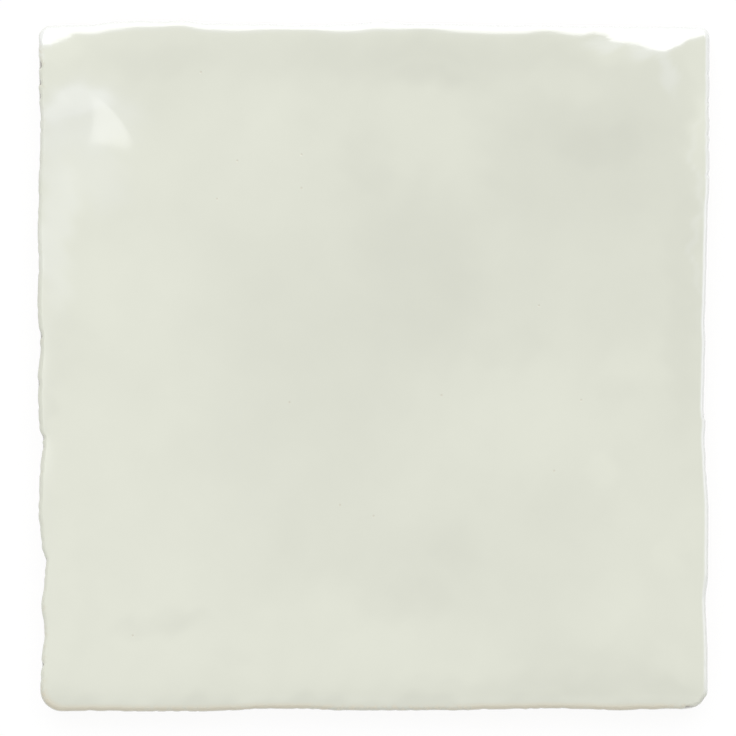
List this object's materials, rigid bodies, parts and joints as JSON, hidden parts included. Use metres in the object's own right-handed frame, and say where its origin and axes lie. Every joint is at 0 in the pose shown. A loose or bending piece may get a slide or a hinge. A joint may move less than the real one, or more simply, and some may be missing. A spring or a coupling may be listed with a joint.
{
  "type": "wall tile",
  "caption": "Square glazed wall tile with softly wavy trimmed edges, worn round corners, a gently undulating face pressed down along one edge and a shallow-grooved back.",
  "frame": {"origin": "under the middle of the tile's bounding box, at the level of its back", "axes": "+Z out of the glazed face, +Y to the edge at the top of the picture, +X to the right edge"},
  "size_m": [0.1312, 0.135, 0.0091],
  "materials": {
    "glazed_ceramic": "gloss off-white glaze with a faint green cast over a buff clay body, bare at the back"
  },
  "bodies": {
    "root": {"wall_tile": "glazed_ceramic"}
  },
  "joints": []
}
